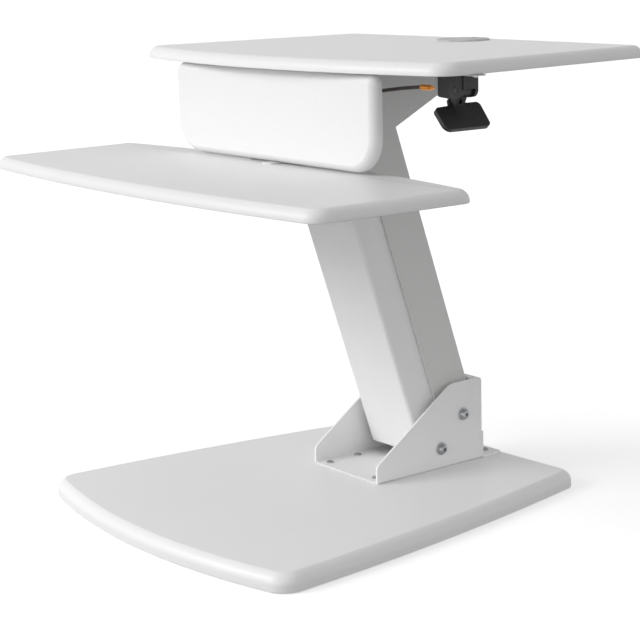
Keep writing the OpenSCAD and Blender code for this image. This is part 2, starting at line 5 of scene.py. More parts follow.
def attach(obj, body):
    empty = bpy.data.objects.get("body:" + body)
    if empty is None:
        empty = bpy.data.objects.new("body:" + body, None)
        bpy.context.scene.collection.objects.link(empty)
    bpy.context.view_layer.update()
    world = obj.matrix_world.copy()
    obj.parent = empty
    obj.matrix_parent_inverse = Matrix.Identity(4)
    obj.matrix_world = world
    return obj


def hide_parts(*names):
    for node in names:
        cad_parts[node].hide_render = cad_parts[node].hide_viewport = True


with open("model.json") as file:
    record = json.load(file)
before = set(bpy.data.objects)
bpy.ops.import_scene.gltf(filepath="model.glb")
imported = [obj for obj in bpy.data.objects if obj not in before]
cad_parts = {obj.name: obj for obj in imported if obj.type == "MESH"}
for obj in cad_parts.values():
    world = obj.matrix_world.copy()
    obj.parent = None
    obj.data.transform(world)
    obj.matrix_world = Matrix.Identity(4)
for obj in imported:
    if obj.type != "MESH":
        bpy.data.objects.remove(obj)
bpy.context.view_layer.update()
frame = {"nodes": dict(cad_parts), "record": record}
NODES = frame["nodes"]
BODY_OF = {n: b for b, ns in frame["record"]["behaviour"]["bodies"].items() for n in ns}
K = 0.001  # all the shapes below are written in millimetres

# everything below is drawn with the base's top at 18 and moved here in one step, so the origin is under the box's middle
SHIFT = Matrix.Translation((0, -0.00425, 0.005))

# ------------------------------------------------------------------ camera
cam_data = bpy.data.cameras.new("camera")
cam = bpy.data.objects.new("camera", cam_data)
bpy.context.scene.collection.objects.link(cam)
cam_data.sensor_width = 36.0
cam_data.lens = 99.89
cam_data.clip_start = 0.05
cam_data.clip_end = 200
X = Vector((0.61212294, 0.79037117, -0.02487804))
Y = Vector((-0.15121766, 0.14787864, 0.97737666))
Z = Vector((0.77616926, -0.59451268, 0.21003799))
cam.matrix_world = Matrix.Translation((1.751537, -1.345083, 0.708326)) @ Matrix((X, Y, Z)).transposed().to_4x4()
bpy.context.scene.camera = cam

# ------------------------------------------------------------- mesh helpers
def link(name, me):
    ob = bpy.data.objects.new(name, me)
    bpy.context.scene.collection.objects.link(ob)
    return ob

def make(name, verts, faces):
    me = bpy.data.meshes.new(name)
    me.from_pydata([(v[0] * K, v[1] * K, v[2] * K) for v in verts], [], faces)
    bm = bmesh.new()
    bm.from_mesh(me)
    bmesh.ops.remove_doubles(bm, verts=bm.verts, dist=1e-7)
    bmesh.ops.recalc_face_normals(bm, faces=bm.faces)
    bm.to_mesh(me)
    bm.free()
    return link(name, me)

def prism(name, pts, a, b, plane):
    """Closed outline pts extruded from a to b: plane "yz" runs along x, "xz" along y, "xy" along z."""
    put = {"yz": lambda p, h: (h, p[0], p[1]), "xz": lambda p, h: (p[0], h, p[1]), "xy": lambda p, h: (p[0], p[1], h)}[plane]
    n = len(pts)
    v = [put(p, a) for p in pts] + [put(p, b) for p in pts]
    f = [list(range(n)), list(range(2 * n - 1, n - 1, -1))] + [[i, (i + 1) % n, n + (i + 1) % n, n + i] for i in range(n)]
    return make(name, v, f)

def bake_mods(ob):
    dg = bpy.context.evaluated_depsgraph_get()
    me = bpy.data.meshes.new_from_object(ob.evaluated_get(dg))
    ob.modifiers.clear()
    old = ob.data
    ob.data = me
    bpy.data.meshes.remove(old)
    return ob

def boolean(ob, other, op="DIFFERENCE", keep=False):
    m = ob.modifiers.new("b", "BOOLEAN")
    m.operation = op
    m.solver = "EXACT"
    m.object = other
    bake_mods(ob)
    if not keep:
        bpy.data.objects.remove(other)
    return ob

def clean(ob, dissolve=True):
    bm = bmesh.new()
    bm.from_mesh(ob.data)
    bmesh.ops.remove_doubles(bm, verts=bm.verts, dist=2e-6)
    if dissolve:
        bmesh.ops.dissolve_limit(bm, angle_limit=math.radians(0.4), verts=bm.verts, edges=bm.edges)
    bmesh.ops.recalc_face_normals(bm, faces=bm.faces)
    bm.to_mesh(ob.data)
    bm.free()
    return ob

def finish_shape(ob, bevel=0.4, seg=2, angle=34, sharp=44):
    if bevel:
        clean(ob)
        m = ob.modifiers.new("edge", "BEVEL")
        m.width = bevel * K
        m.segments = seg
        m.limit_method = "ANGLE"
        m.angle_limit = math.radians(angle)
        m.miter_outer = "MITER_ARC"
        m.use_clamp_overlap = True
        m.harden_normals = False
        bake_mods(ob)
    for p in ob.data.polygons:
        p.use_smooth = True
    ob.data.set_sharp_from_angle(angle=math.radians(sharp))
    w = ob.modifiers.new("normals", "WEIGHTED_NORMAL")
    w.keep_sharp = True
    w.weight = 60
    return ob

def join(name, obs):
    """One mesh from several closed shells."""
    bm = bmesh.new()
    for o in obs:
        me = o.data.copy()
        me.transform(o.matrix_world)
        bm.from_mesh(me)
        bpy.data.meshes.remove(me)
    me = bpy.data.meshes.new(name)
    bm.to_mesh(me)
    bm.free()
    for o in obs:
        bpy.data.objects.remove(o)
    ob = link(name, me)
    return ob

def dup(ob, matrix):
    o = link(ob.name, ob.data.copy())
    o.data.transform(matrix)
    return o

def move(ob, matrix):
    ob.data.transform(matrix)
    return ob

def mmT(x, y, z):
    return Matrix.Translation((x * K, y * K, z * K))

def lathe(name, prof, n=64):
    """prof: closed or axis-touching list of (radius, height), turned about Z."""
    v, f, rows = [], [], []
    for r, z in prof:
        if r < 1e-6:
            rows.append([len(v)])
            v.append((0, 0, z))
        else:
            rows.append(list(range(len(v), len(v) + n)))
            v += [(r * math.cos(2 * math.pi * i / n), r * math.sin(2 * math.pi * i / n), z) for i in range(n)]
    m = len(rows)
    closed = prof[0][0] > 1e-6 and prof[-1][0] > 1e-6
    for j in range(m if closed else m - 1):
        a, b = rows[j], rows[(j + 1) % m]
        for i in range(n):
            k = (i + 1) % n
            if len(a) == 1 and len(b) == 1:
                continue
            if len(a) == 1:
                f.append([a[0], b[k], b[i]])
            elif len(b) == 1:
                f.append([a[i], a[k], b[0]])
            else:
                f.append([a[i], a[k], b[k], b[i]])
    return make(name, v, f)

def arc(c, r, a0, a1, n):
    return [(c[0] + r * math.cos(math.radians(a0 + (a1 - a0) * i / n)), c[1] + r * math.sin(math.radians(a0 + (a1 - a0) * i / n))) for i in range(n + 1)]

def unit(a):
    l = math.hypot(*a)
    return (a[0] / l, a[1] / l)

def fillet(p, a, b, r, n):
    ua, ub = unit((a[0] - p[0], a[1] - p[1])), unit((b[0] - p[0], b[1] - p[1]))
    h = math.acos(max(-1, min(1, ua[0] * ub[0] + ua[1] * ub[1]))) / 2
    d = r / math.tan(h)
    m = unit((ua[0] + ub[0], ua[1] + ub[1]))
    c = (p[0] + m[0] * r / math.sin(h), p[1] + m[1] * r / math.sin(h))
    s = (p[0] + ua[0] * d - c[0], p[1] + ua[1] * d - c[1])
    t = (p[0] + ub[0] * d - c[0], p[1] + ub[1] * d - c[1])
    a0 = math.atan2(s[1], s[0])
    dd = math.atan2(t[1], t[0]) - a0
    if dd > math.pi: dd -= 2 * math.pi
    if dd < -math.pi: dd += 2 * math.pi
    return [(c[0] + r * math.cos(a0 + dd * i / n), c[1] + r * math.sin(a0 + dd * i / n)) for i in range(n + 1)]

def round_poly(corners, n=5):
    """corners: (x, y, radius); radius 0 keeps the corner sharp."""
    out, m = [], len(corners)
    for i, (x, y, r) in enumerate(corners):
        a, b = corners[i - 1], corners[(i + 1) % m]
        out += fillet((x, y), a[:2], b[:2], r, n) if r else [(x, y)]
    return out

# ------------------------------------------------------------- boards
def bow(w, s, x):
    return s * x * x / (w * w)

def plan(wf, wb, yf, sf, yb, sb, rf, rb, side, nf=48, nb=32, ns=20, ncf=18, ncb=12):
    fr, br = (wf, yf + sf), (wb, yb - sb)
    f_in = (wf * 0.93, yf + bow(wf, sf, wf * 0.93))
    b_in = (wb * 0.95, yb - bow(wb, sb, wb * 0.95))
    d = (br[0] - fr[0], br[1] - fr[1])
    s_lo = (fr[0] + d[0] * 0.1 + 4 * side * 0.09, fr[1] + d[1] * 0.1)
    s_hi = (fr[0] + d[0] * 0.95 + 4 * side * 0.95 * 0.05, fr[1] + d[1] * 0.95)
    right = [(wf * 0.88 * i / nf, yf + bow(wf, sf, wf * 0.88 * i / nf)) for i in range(nf + 1)]
    right += fillet(fr, f_in, s_lo, rf, ncf)
    for i in range(1, ns + 1):
        q = 0.1 + 0.82 * i / ns
        right.append((fr[0] + d[0] * q + 4 * side * q * (1 - q), fr[1] + d[1] * q))
    right += fillet(br, s_hi, b_in, rb, ncb)
    right += [(wb * 0.86 * (1 - i / nb), yb - bow(wb, sb, wb * 0.86 * (1 - i / nb))) for i in range(nb + 1)]
    return right + [(-x, y) for x, y in right[-2:0:-1]]

def board(name, pts, t, r, put, ease=1.0, k=14, rise_in=0.80):
    """Lower edge eased; the upper edge is one arc that meets the flat face at a soft arris."""
    drop = min(t - ease - 0.6, r)
    n = len(pts)
    nrm = []
    for i in range(n):
        dx, dy = pts[(i + 1) % n][0] - pts[i - 1][0], pts[(i + 1) % n][1] - pts[i - 1][1]
        l = math.hypot(dx, dy)
        nrm.append((-dy / l, dx / l))
    low = [(ease * (1 - math.sin(math.radians(90 * j / 4))), ease * (1 - math.cos(math.radians(90 * j / 4)))) for j in range(5)]
    prof = [(ease + 1.2, 0)] + low + [(r * (1 - math.cos(math.radians(66 * j / k))) / 0.5933 * rise_in, t - drop * (1 - math.sin(math.radians(66 * j / k)) / 0.9135)) for j in range(k + 1)]
    m = len(prof)
    v = [put(p[0] + q[0] * o, p[1] + q[1] * o, h) for o, h in prof for p, q in zip(pts, nrm)]
    f = [list(range(n - 1, -1, -1)), [(m - 1) * n + i for i in range(n)]]
    for j in range(m - 1):
        for i in range(n):
            i2 = (i + 1) % n
            f.append([j * n + i, j * n + i2, (j + 1) * n + i2, (j + 1) * n + i])
    return make(name, v, f)

BT, ER = 15.0, 12.5
BASE_TOP, TRAY_Z, TRAY_TOP, TOP_Z, TOP = 18.0, 420.5, 435.5, 553.0, 568.0
base_plan = plan(257.5, 186, -291.5, 39, 267, -6.8, 30, 22, 11.2)
tray_plan = plan(346, 349.5, -288, 21.7, -21, 30.6, 24, 20, 0)
top_plan = plan(305, 280.5, -93, 41.5, 300, 7, 30, 14, 0)
b_base = board("board_base", base_plan, 22, 14.5, lambda x, y, h: (x, y, -4 + h))
b_tray = board("board_tray", tray_plan, BT, ER, lambda x, y, h: (x, y, TRAY_Z + h))
b_top = board("board_top", top_plan, BT, ER, lambda x, y, h: (x, y, TOP_Z + h))
GY = 249.0
boolean(b_top, move(lathe("cut", [(0, 545), (30, 545), (30, 575), (0, 575)], 96), mmT(0, GY, 0)))
PW, PY, PZ, WEB_Y = 202.0, -72.0, 438.0, -57.0
half = fillet((PW, PZ), (0, PZ), (PW, TOP_Z), 43, 30) + fillet((PW, TOP_Z - 1.5), (PW, PZ), (0, TOP_Z - 1.5), 12, 12)
b_panel = board("panel", half + [(-x, y) for x, y in half[::-1]], BT, 11, lambda x, y, h: (x, WEB_Y - h, y))
for o in (b_base, b_tray, b_top, b_panel):
    finish_shape(o, 0, sharp=50)

# ------------------------------------------------------------- sheet metal
LEAN = math.radians(18.4)
P1, P2 = (145.5, 45.0), (184.5, 85.0)
AL = 445.0
U = (-math.sin(LEAN), math.cos(LEAN))
P3, P4 = (P1[0] + AL * U[0], P1[1] + AL * U[1]), (P2[0] + AL * U[0], P2[1] + AL * U[1])

def u_section(w, a, b, t, R, n=8):
    """U outline: web along b, legs of half width w reaching a. Works either way up."""
    s = 1 if a > b else -1
    def P(x, h): return (x, b + s * h)
    H = abs(a - b)
    o = [P(-w, H)] + [P(x, h) for x, h in arc((-w + R, R), R, 180, 270, n)] + [P(x, h) for x, h in arc((w - R, R), R, 270, 360, n)] + [P(w, H)]
    r = R - t
    i = [P(w - t, H)] + [P(x, h) for x, h in arc((w - R, R), r, 360, 270, n)] + [P(x, h) for x, h in arc((-w + R, R), r, 270, 180, n)] + [P(-w + t, H)]
    return o + i

def rod(x0, x1, y, z, d, n=48):
    return move(lathe("rod", [(0, x0), (d / 2, x0), (d / 2, x1), (0, x1)], n), mmT(0, y, z) @ Matrix.Rotation(math.pi / 2, 4, "Y"))

def arm_matrix(p):
    return mmT(0, p[0], p[1]) @ Matrix.Rotation(LEAN, 4, "X")

def arm(name, p, w, d, s0, s1, web, t=2.0, R=4.6):
    sec = u_section(w, d / 2 * -web, d / 2 * web, t, R)
    body = prism(name, sec, -20, AL + 20, "xy")
    x0 = math.sqrt(18 ** 2 - s0 ** 2)
    x1 = math.sqrt(18 ** 2 - (s1 - AL) ** 2)
    a0 = math.degrees(math.atan2(s0, -x0))
    out = [(-d / 2 - 1, s1), (-d / 2 - 1, s0)] if False else []
    low = arc((0, 0), 18, 360 + math.degrees(math.atan2(s0, -x0)) if s0 < 0 else 180 + math.degrees(math.asin(-s0 / 18)), 360 + math.degrees(math.atan2(s0, x0)), 28) if s0 <= 0 else arc((0, 0), 18, 180 - math.degrees(math.asin(s0 / 18)), 360 + math.degrees(math.asin(s0 / 18)), 30)
    h = s1 - AL
    high = arc((0, AL), 18, math.degrees(math.asin(h / 18)), 180 - math.degrees(math.asin(h / 18)), 24)
    e = 2.5
    prof = [(-d / 2, s0 + e), *arc((-d / 2 + e, s0 + e), e, 180, 270, 4)[1:], *low, *arc((d / 2 - e, s0 + e), e, 270, 360, 4), *arc((d / 2 - e, s1 - e), e, 0, 90, 4), *high, *arc((-d / 2 + e, s1 - e), e, 90, 180, 4)]
    cut = prism("cut", prof, -w - 5, w + 5, "yz")
    boolean(body, cut, "INTERSECT")
    for z in (0, AL):
        boolean(body, rod(-w - 5, w + 5, 0, z, 12))
    return body

fa = arm("front_channel", P1, 51.5, 46.5, -2, 455, -1)
hole = move(lathe("h", [(0, 0), (1.3, 0), (1.3, 8), (0, 8)], 20), mmT(40, -46.5 / 2 + 4, 36) @ Matrix.Rotation(math.pi / 2, 4, "X"))
boolean(fa, hole)
finish_shape(fa, 0.45)
move(fa, arm_matrix(P1))
ra = arm("rear_channel", P2, 55.0, 61.0, 3, 457, 1, 2.8, 5.0)
finish_shape(ra, 0.45)
move(ra, arm_matrix(P2))

# base bracket: ears and floor folded from one sheet, rear wall and top lip welded in
ear = [(39, 18), (217.5, 18)] + fillet((217.5, 129.5), (217.5, 18), (160, 129.5), 5, 6) + fillet((163.6, 129.5), (200, 129.5), (36, 42), 26, 12) + fillet((36.5, 41.6), (163.6, 129.5), (36, 18), 9, 8) + [(36, 21)]
bb = prism("base_bracket_fold", u_section(65.7, 140, 18, 3, 3.5), 36, 217.5, "xz")
boolean(bb, prism("cut", ear, -80, 80, "yz"), "INTERSECT")
wall = [(217.5, 19), (217.5, 125.5)] + arc((213.5, 125.5), 4, 0, 90, 6)[1:] + [(204.5, 129.5), (204.5, 126.5)] + [(213.5, 126.5)] + arc((213.5, 125.5), 1, 90, 0, 3)[1:] + [(214.5, 19)]
boolean(bb, prism("wall", wall, -64.6, 64.6, "yz"), "UNION")
for x in (-57, 57):
    boolean(bb, move(lathe("h", [(0, 115), (2.25, 115), (2.25, 140), (0, 140)], 24), mmT(x, 209.5, 0)))
for p in (P1, P2):
    boolean(bb, rod(-80, 80, p[0], p[1], 8.1))
finish_shape(bb, 0.5)

ang = [(217.6, 55), (217.6, 22)] + arc((221.6, 22), 4, 180, 270, 6)[1:] + [(253.5, 18), (253.5, 21), (222, 21)] + arc((221.6, 22), 1, 270, 180, 3)[1:] + [(220.6, 55)]
ra_l = prism("angle", ang, -65.7, 65.7, "yz")
corner = round_poly([(-65.7, 200, 0), (65.7, 200, 0), (65.7, 253.5, 4), (-65.7, 253.5, 4)])
boolean(ra_l, prism("cut", corner, 10, 60, "xy"), "INTERSECT")
for x in (-48, 48):
    slot = arc((x, 243), 2.6, 0, 180, 10) + arc((x, 237), 2.6, 180, 360, 10)
    boolean(ra_l, prism("slot", slot, 15, 24, "xy"))
finish_shape(ra_l, 0.45)

# carriage: cheeks and roof folded from one sheet, front web with a foot, small tab
chk = [(WEB_Y, TRAY_TOP), (8, TRAY_TOP)] + fillet((13, TRAY_TOP + 2.6), (0, TRAY_TOP), (120, TRAY_TOP + 55), 8, 6) + fillet((219, 540), (86, 474), (250, 540), 12, 8) + fillet((250, 540), (219, 540), (250, TOP_Z), 5, 5) + [(250, TOP_Z), (WEB_Y, TOP_Z)]
ca = prism("carriage_fold", u_section(60, 430, TOP_Z, 3, 4.2), WEB_Y, 250, "xz")
boolean(ca, prism("cut", chk, -80, 80, "yz"), "INTERSECT")
web = [(-57, 439.5)] + arc((-53, 439.5), 4, 180, 270, 6)[1:] + [(-22, 435.5), (-22, 438.5), (-53, 438.5)] + arc((-53, 439.5), 1, 270, 180, 3)[1:] + [(-54, 551), (-57, 551)]
boolean(ca, prism("web", web, -59, 59, "yz"), "UNION")
tab = round_poly([(-10, -76, 2.5), (10, -76, 2.5), (10, -50, 0), (-10, -50, 0)])
boolean(ca, prism("tab", tab, 435.5, 437.3, "xy"), "UNION")
boolean(ca, prism("win", round_poly([(-20, 130, 4), (20, 130, 4), (20, 190, 4), (-20, 190, 4)]), 545, 560, "xy"))
boolean(ca, rod(40, 70, -17.1, 511.5, 9))
for p in (P3, P4):
    boolean(ca, rod(-80, 80, p[0], p[1], 8.1))
finish_shape(ca, 0.5)

plate = prism("tray_plate", round_poly([(-100, -150, 6), (100, -150, 6), (100, -26, 6), (-100, -26, 6)]), TRAY_Z - 3, TRAY_Z, "xy")
for x in (-85, 85):
    for y in (-135, -60):
        boolean(plate, move(lathe("h", [(0, 410), (2.5, 410), (2.5, 430), (0, 430)], 24), mmT(x, y, 0)))
finish_shape(plate, 0.5)

# ------------------------------------------------------------- fasteners
def along_x(ob, x, y, z, flip=False):
    return move(ob, mmT(x, y, z) @ Matrix.Rotation(-math.pi / 2 if flip else math.pi / 2, 4, "Y"))

def hexagon(r, rot=0):
    return [(r * math.cos(math.radians(60 * i + rot)), r * math.sin(math.radians(60 * i + rot))) for i in range(6)]

def button_bolt(x0, x1, y, z, rot=12):
    """Shank from x0 to x1, domed hexagon socket head beyond x1."""
    h = x1 - x0
    head = [(6.75, h), (6.85, h + 0.35), (6.8, h + 1.0), (6.5, h + 2.2), (5.9, h + 3.4), (5.1, h + 4.4), (4.2, h + 5.1), (3.7, h + 5.35), (0, h + 5.35)]
    o = lathe("bolt", [(0, 0), (3.4, 0), (4, 0.6), (4, h)] + head, 64)
    boolean(o, prism("hex", hexagon(2.9, rot), h + 2.0, h + 8, "xy"))
    finish_shape(o, 0.14, 2, 30)
    return along_x(o, x0, y, z)

def washer(x0, x1, y, z, od, bore):
    t = x1 - x0
    e = 0.35
    o = lathe("washer", [(bore / 2, 0), (bore / 2, t), (od / 2 - e, t), (od / 2 - e * 0.3, t - e * 0.3), (od / 2, t - e), (od / 2, e * 0.6), (od / 2 - e * 0.6, 0)], 64)
    finish_shape(o, 0)
    return along_x(o, x0, y, z)

def lock_nut(x, y, z):
    """Seated at x, growing to -X."""
    o = prism("nut", hexagon(7.5, 10), 0, 6, "xy")
    cone = lathe("c", [(0, -1), (6.9, -1), (6.9, 0), (7.7, 0.8), (7.7, 5.2), (6.9, 6), (6.9, 7), (0, 7)], 64)
    boolean(o, cone, "INTERSECT")
    boolean(o, lathe("col", [(0, 5.5), (6, 5.5), (6, 7.3), (5.6, 7.8), (5.0, 8), (0, 8)], 48), "UNION")
    boolean(o, lathe("bore", [(0, -1), (4.02, -1), (4.02, 9), (0, 9)], 40))
    finish_shape(o, 0.2, 2, 30)
    return along_x(o, x, y, z, True)

def pan_screw(d, head, hh, l, rot=0):
    """Head on +Z over the seat at z 0."""
    r = head / 2
    o = lathe("screw", [(0, -l), (d * 0.3, -l + 1.2), (d / 2, -l + 2.5), (d / 2, 0), (r, 0), (r, hh * 0.3), (r * 0.96, hh * 0.55), (r * 0.82, hh * 0.8), (r * 0.55, hh * 0.95), (r * 0.3, hh), (0, hh)], 40)
    a, b = head * 0.25, head * 0.06
    cross = [(a, -b), (a, b), (b, b), (b, a), (-b, a), (-b, b), (-a, b), (-a, -b), (-b, -b), (-b, -a), (b, -a), (b, -b)]
    c = prism("x", cross, hh * 0.35, hh + 2, "xy")
    move(c, Matrix.Rotation(math.radians(rot), 4, "Z"))
    boolean(o, c)
    finish_shape(o, 0.1, 2, 30)
    return o

EAR, CHK = 65.7, 60.0
lower_bolts = join("lower_bolt_set", [button_bolt(-76.5, EAR + 1.6, *P1, rot=10), button_bolt(-76.5, EAR + 1.6, *P2, rot=35)])
lower_washers = join("lower_washer_set", [washer(EAR, EAR + 1.6, *p, 17, 8.1) for p in (P1, P2)] + [washer(-EAR - 1.6, -EAR, *p, 17, 8.1) for p in (P1, P2)])
lower_nuts = join("lower_nut_set", [lock_nut(-EAR - 1.6, *P1), lock_nut(-EAR - 1.6, *P2)])
upper_bolts = join("upper_bolt_set", [button_bolt(-71, CHK + 1.6, *P3, rot=20), button_bolt(-71, CHK + 1.6, *P4, rot=48)])
upper_washers = join("upper_washer_set", [washer(CHK, CHK + 1.6, *p, 17, 8.1) for p in (P3, P4)] + [washer(-CHK - 1.6, -CHK, *p, 17, 8.1) for p in (P3, P4)])
upper_nuts = join("upper_nut_set", [lock_nut(-CHK - 1.6, *P3), lock_nut(-CHK - 1.6, *P4)])
base_pts = [(-47.5, 48), (47.5, 48), (-50, 97.5), (50, 97.5), (-45, 178), (45, 178)]
base_screws = join("base_screw_set", [move(pan_screw(4, 9.5, 2.4, 14, 20 + 37 * i), mmT(x, y, 21)) for i, (x, y) in enumerate(base_pts)])
angle_screws = join("angle_screw_set", [move(pan_screw(4, 9.5, 2.6, 14, 33 + 50 * i), mmT(x, 240, 21)) for i, x in enumerate((-48, 48))])
top_pts = [(-40, -32), (40, -32), (-40, 110), (40, 110), (-40, 225), (40, 225)]
flipz = Matrix.Rotation(math.pi, 4, "X")
carriage_screws = join("carriage_screw_set", [move(pan_screw(4, 9.5, 2.4, 12, 41 * i), mmT(x, y, TOP_Z - 3) @ flipz) for i, (x, y) in enumerate(top_pts)])
panel_pts = [(-42, 470), (42, 470), (-42, 530), (42, 530)]
panel_screws = join("panel_screw_set", [move(pan_screw(4, 9.5, 2.4, 12, 29 * i), mmT(x, WEB_Y + 3, z) @ Matrix.Rotation(-math.pi / 2, 4, "X")) for i, (x, z) in enumerate(panel_pts)])
def hexnut(af, h, d):
    o = prism("n", hexagon(af / math.sqrt(3) * 0.985, 0), 0, h, "xy")
    boolean(o, lathe("c", [(0, -1), (af * 0.52, -1), (af * 0.52, 0), (af * 0.6, 0.6), (af * 0.6, h - 0.6), (af * 0.52, h), (af * 0.52, h + 1), (0, h + 1)], 48), "INTERSECT")
    boolean(o, lathe("b", [(0, -1), (d / 2 + 0.02, -1), (d / 2 + 0.02, h + 1), (0, h + 1)], 32))
    return finish_shape(o, 0.15, 2, 30)
tb = []
for i, x in enumerate((-48, -16, 16, 48)):
    tb.append(move(pan_screw(6, 12, 3, 27, 25 * i), mmT(x, -44, TRAY_Z - 3) @ flipz))
    tb.append(move(hexnut(9.8, 5, 6), mmT(x, -44, TRAY_TOP + 3)))
tray_bolts = join("tray_bolt_set", tb)
ab = []
for i, x in enumerate((-30, 30)):
    ab.append(move(pan_screw(6, 11, 3.4, 12, 18 + 30 * i), mmT(x, 220.6, 40) @ Matrix.Rotation(-math.pi / 2, 4, "X")))
    ab.append(move(hexnut(9.8, 4.5, 6), mmT(x, 214.5, 40) @ Matrix.Rotation(math.pi / 2, 4, "X")))
angle_bolts = join("angle_bolt_set", ab)

# rubber feet with a softened rim and a shallow dish
feet = []
for x, y in ((-215, -215), (215, -215), (-195, 20), (195, 20), (-160, 245), (160, 245)):
    feet.append(move(lathe("foot", [(0, 0.5), (8, 0.5), (8.8, 0.15), (9.6, 0), (11, 0), (11.7, 0.2), (12, 0.6), (12, 1), (0, 1)], 48), mmT(x, y, -5)))
feet = join("feet", feet)
finish_shape(feet, 0)

# ------------------------------------------------------------- grommet
GD = 70.0
ring = lathe("grommet_rim", [(28, -15), (29.9, -14.6), (29.9, 0), (34.7, 0), (35, 0.3), (35, 1.2), (34.6, 1.75), (33.8, 2.15), (32.6, 2.2), (31.6, 2.15), (31.05, 1.8), (31.0, 0.3), (28, 0.3)], 96)
move(ring, mmT(0, GY, TOP))
finish_shape(ring, 0)
cap = lathe("grommet_lid", [(0, 0.5), (26, 0.5), (26, -6), (27.6, -6), (27.6, 0.5), (30.4, 0.5), (30.5, 0.7), (30.5, 1.7), (30.0, 2.15), (29.0, 2.3), (0, 2.3)], 96)
notch = round_poly([(-7, 19, 6.5), (7, 19, 6.5), (7, 40, 0), (-7, 40, 0)], 8)
boolean(cap, prism("notch", notch, -8, 6, "xy"))
move(cap, mmT(0, GY, TOP))
finish_shape(cap, 0.3, 2, 30)

# ------------------------------------------------------------- release lever
LX, LY, HZ = 250.0, -16.5, 526.3
PV = (LX + 29, HZ + 8.7)
ct = TOP_Z - 1.6
front_cheek = [(LX, ct), (LX, HZ + 3)] + arc((LX + 3, HZ + 3), 3, 190, 260, 5) + arc(PV, 10.5, 262, 360, 24) + [(PV[0] + 10.5, ct)]
fc = prism("lever_frame", front_cheek, LY, LY + 4, "xz")
lobe = move(lathe("lobe", [(0, 0.7), (7.2, 0.7), (7.9, 0.2), (8.6, 0), (9.6, 0), (10.3, 0.5), (10.6, 1.3), (10.6, 4), (0, 4)], 64), mmT(PV[0], LY - 0.5, PV[1]) @ Matrix.Rotation(-math.pi / 2, 4, "X"))
boolean(fc, lobe, "UNION")
rear_cheek = round_poly([(LX, HZ + 2, 3), (LX + 28, HZ - 0.5, 0.01), (LX + 41, HZ + 1.5, 8.5), (LX + 41, ct, 0), (LX, ct, 0)], 8)
rc = prism("rc", rear_cheek, LY + 20, LY + 24, "xz")
boolean(fc, rc, "UNION")
boolean(fc, prism("wall", [(LX + 38, HZ + 10), (LX + 41, HZ + 10), (LX + 41, ct), (LX + 38, ct)], LY + 2, LY + 22, "xz"), "UNION")
boolean(fc, prism("roof", [(LX, ct - 4), (LX + 41, ct - 4), (LX + 41, ct), (LX, ct)], LY + 3, LY + 21, "xz"), "UNION")
boolean(fc, move(lathe("b", [(0, -2), (2.55, -2), (2.55, 28), (0, 28)], 40), mmT(PV[0], LY, PV[1]) @ Matrix.Rotation(-math.pi / 2, 4, "X")))
finish_shape(fc, 0.9, 4, 40)

# paddle: hub, swept neck and a soft-edged plate, one closed skin
TILT = math.radians(46)
PT = (LX + 17.5, 516.7)
def hull2(c0, r0, c1, r1, n=14):
    dx, dy = c1[0] - c0[0], c1[1] - c0[1]
    d = math.hypot(dx, dy)
    base = math.degrees(math.atan2(dy, dx))
    k = math.degrees(math.acos((r0 - r1) / d))
    return arc(c0, r0, base + k, base + 360 - k, n) + arc(c1, r1, base - k, base + k, n)
hub = move(lathe("paddle", [(0, 4.5), (8, 4.5), (8, 19.5), (0, 19.5)], 56), mmT(PV[0], LY, PV[1]) @ Matrix.Rotation(-math.pi / 2, 4, "X"))
pdx, pdz = math.cos(TILT), -math.sin(TILT)
neck = prism("neck", hull2((PV[0] - 3.4, PV[1] - 3), 4.2, (PT[0] + 1.0, PT[1] + 1.6), 4.3), LY + 4.7, LY + 19.3, "xz")
boolean(hub, neck, "UNION")
# plate outline in (down the slope, along y): shoulders fall away from the neck, outer corners round
out = round_poly([(2.0, LY - 23.5, 6), (33.5, LY - 24.5, 9), (34, LY + 42, 6.5), (-0.9, LY + 45, 5), (-0.8, LY + 22.5, 7.5), (-10, LY + 18.6, 0), (-10, LY + 5.4, 0), (0.8, LY + 0.5, 8)], 10)
pl = prism("plate", out, -2.7, 2.7, "xy")
move(pl, mmT(PT[0], 0, PT[1]) @ Matrix.Rotation(TILT, 4, "Y"))
boolean(hub, pl, "UNION")
ridge = prism("rib", hull2((PT[0] + 1.0, PT[1] + 1.6), 4.4, (PT[0] + 12 * pdx, PT[1] + 12 * pdz), 2.5), LY + 4.7, LY + 19.3, "xz")
boolean(hub, ridge, "UNION")
boolean(hub, move(lathe("b", [(0, 0), (2.55, 0), (2.55, 28), (0, 28)], 40), mmT(PV[0], LY, PV[1]) @ Matrix.Rotation(-math.pi / 2, 4, "X")))
boolean(hub, prism("pocket", [(LX + 13.5, 519), (LX + 29.5, 519), (LX + 29.5, 524), (LX + 13.5, 524)], LY + 9.8, LY + 14.2, "xz"))
paddle = hub
paddle.name = "paddle"
finish_shape(paddle, 1.1, 4, 40)

pin = lathe("pivot_pin", [(0, 0), (3.1, 0), (3.5, 0.35), (3.5, 0.7), (2.5, 0.75), (2.5, 25.0), (2.1, 25.6), (0, 25.6)], 40)
move(pin, mmT(PV[0], LY - 0.8, PV[1]) @ Matrix.Rotation(-math.pi / 2, 4, "X"))
finish_shape(pin, 0)

